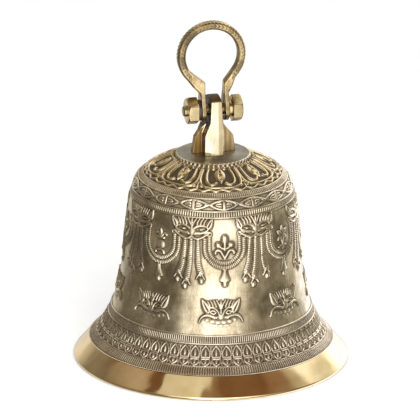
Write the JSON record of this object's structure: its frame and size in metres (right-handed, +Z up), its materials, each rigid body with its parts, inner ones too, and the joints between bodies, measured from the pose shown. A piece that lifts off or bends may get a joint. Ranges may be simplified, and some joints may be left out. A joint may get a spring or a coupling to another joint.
{
  "type": "temple bell",
  "caption": "Cast brass hanging bell with banded relief ornament, polished lip, bolted horseshoe shackle on a cross-shaped crown lug, and a swinging clapper.",
  "frame": {"origin": "centre of the mouth, on the plane of the lip's flat edge", "axes": "+Z up along the bell's axis, X along the shackle bolt with its head at +X"},
  "size_m": [0.2008, 0.2008, 0.257],
  "materials": {
    "bell_brass": "antiqued cast brass, dark in the recesses, lip polished bright",
    "polished_brass": "bright polished brass",
    "antique_brass": "rubbed antique brass",
    "fastener_brass": "worn satin brass",
    "dark_steel": "dull dark steel"
  },
  "bodies": {
    "bell": {"bell_shell": "bell_brass", "crown_block": "polished_brass", "clapper_staple": "dark_steel", "staple_washer": "dark_steel", "staple_nut": "dark_steel", "clapper_pin": "dark_steel"},
    "shackle": {"shackle": "antique_brass", "shackle_bolt": "fastener_brass", "shackle_nut": "fastener_brass", "nut_washer": "dark_steel", "head_collar": "fastener_brass"},
    "clapper": {"clapper_rod": "dark_steel", "clapper_ball": "antique_brass", "clapper_tip": "fastener_brass"}
  },
  "joints": [
    {"name": "shackle_turn", "type": "hinge", "parent": "bell", "child": "shackle", "pos_m": [0, 0, 0.1896], "axis": [1, 0, 0], "range_deg": [-125, 125]},
    {"name": "clapper_swing", "type": "hinge", "parent": "bell", "child": "clapper", "pos_m": [0, 0, 0.123], "axis": [1, 0, 0], "range_deg": [-31.5, 31.5]}
  ]
}
